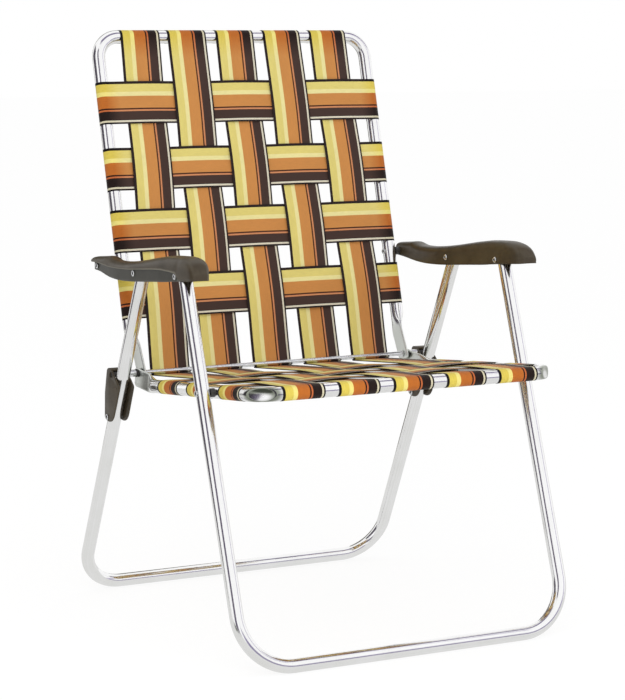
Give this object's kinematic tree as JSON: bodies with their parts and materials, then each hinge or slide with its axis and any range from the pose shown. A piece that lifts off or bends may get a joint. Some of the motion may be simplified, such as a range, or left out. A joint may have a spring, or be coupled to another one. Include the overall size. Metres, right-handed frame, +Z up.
{
  "type": "folding webbed lawn chair",
  "caption": "Folding tubular lawn chair with moulded armrests and a seat and back woven from striped webbing.",
  "frame": {"origin": "on the floor under the middle of the chair's bounding box", "axes": "+Z up, the sitter faces -Y, +X is to the right of someone who looks along +Y at the chair's front"},
  "size_m": [0.6322, 0.6535, 0.9673],
  "materials": {
    "tube": "polished drawn aluminium tube",
    "steel": "bright plated steel",
    "black_plastic": "black nylon",
    "moulded_plastic": "moulded dark taupe plastic, fine satin grain",
    "webbing": "striped woven polypropylene webbing in yellow, orange, dark brown and cream"
  },
  "bodies": {
    "rear_legs": {"rear_leg_frame": "tube", "link_rivet_right": "steel", "link_rivet_left": "steel"},
    "arms": {"armrest_right": "moulded_plastic", "armrest_left": "moulded_plastic", "arm_front_rivet_right": "steel", "arm_front_rivet_left": "steel", "arm_middle_rivet_right": "steel", "arm_middle_rivet_left": "steel", "arm_rear_rivet_right": "steel", "arm_rear_rivet_left": "steel", "arm_rear_spacer_right": "black_plastic", "arm_rear_spacer_left": "black_plastic"},
    "front_legs": {"front_leg_frame": "tube", "seat_pivot_rivet_right": "steel", "seat_pivot_rivet_left": "steel", "seat_pivot_spacer_right": "black_plastic", "seat_pivot_spacer_left": "black_plastic"},
    "back": {"back_frame": "tube", "hinge_rod": "steel", "hinge_inner_washer_right": "black_plastic", "hinge_inner_washer_left": "black_plastic", "back_strip_1": "webbing", "back_strip_2": "webbing", "back_strip_3": "webbing", "back_strip_4": "webbing", "back_strip_5": "webbing", "back_cross_strip_1": "webbing", "back_cross_strip_2": "webbing", "back_cross_strip_3": "webbing", "back_cross_strip_4": "webbing"},
    "seat": {"seat_frame": "tube", "hinge_outer_washer_right": "black_plastic", "hinge_outer_washer_left": "black_plastic", "hinge_spacer_right": "steel", "hinge_spacer_left": "steel", "seat_strip_1": "webbing", "seat_strip_2": "webbing", "seat_strip_3": "webbing", "seat_strip_4": "webbing", "seat_strip_5": "webbing", "seat_cross_strip_1": "webbing", "seat_cross_strip_2": "webbing", "seat_cross_strip_3": "webbing"},
    "right_link": {"link_right": "moulded_plastic", "link_pin_right": "black_plastic"},
    "left_link": {"link_left": "moulded_plastic", "link_pin_left": "black_plastic"}
  },
  "joints": [
    {"name": "fold", "type": "hinge", "parent": "rear_legs", "child": "arms", "pos_m": [0, 0.0476, 0.5823], "axis": [-1, 0, 0], "range_deg": [0, 52.55]},
    {"name": "front_leg_swing", "type": "hinge", "parent": "arms", "child": "front_legs", "pos_m": [0, -0.1075, 0.593], "axis": [1, 0, 0], "range_deg": [0, 96.81]},
    {"name": "back_swing", "type": "hinge", "parent": "arms", "child": "back", "pos_m": [0, 0.20973, 0.57856], "axis": [1, 0, 0], "range_deg": [0, 96.81]},
    {"name": "seat_fold", "type": "hinge", "parent": "back", "child": "seat", "pos_m": [0, 0.1469, 0.4031], "axis": [-1, 0, 0], "range_deg": [0, 96.81]},
    {"name": "right_link_swing", "type": "hinge", "parent": "rear_legs", "child": "right_link", "pos_m": [0, 0.16295, 0.32978], "axis": [-1, 0, 0], "range_deg": [0, 142.1]},
    {"name": "left_link_swing", "type": "hinge", "parent": "rear_legs", "child": "left_link", "pos_m": [0, 0.16295, 0.32978], "axis": [-1, 0, 0], "range_deg": [0, 142.1]}
  ],
  "couplings": [
    {"joint": "front_leg_swing", "follows": "fold", "ratio": 1.8421},
    {"joint": "back_swing", "follows": "fold", "ratio": 1.8421},
    {"joint": "seat_fold", "follows": "fold", "ratio": 1.8421},
    {"joint": "right_link_swing", "follows": "fold", "ratio": 2.704},
    {"joint": "left_link_swing", "follows": "fold", "ratio": 2.704}
  ]
}
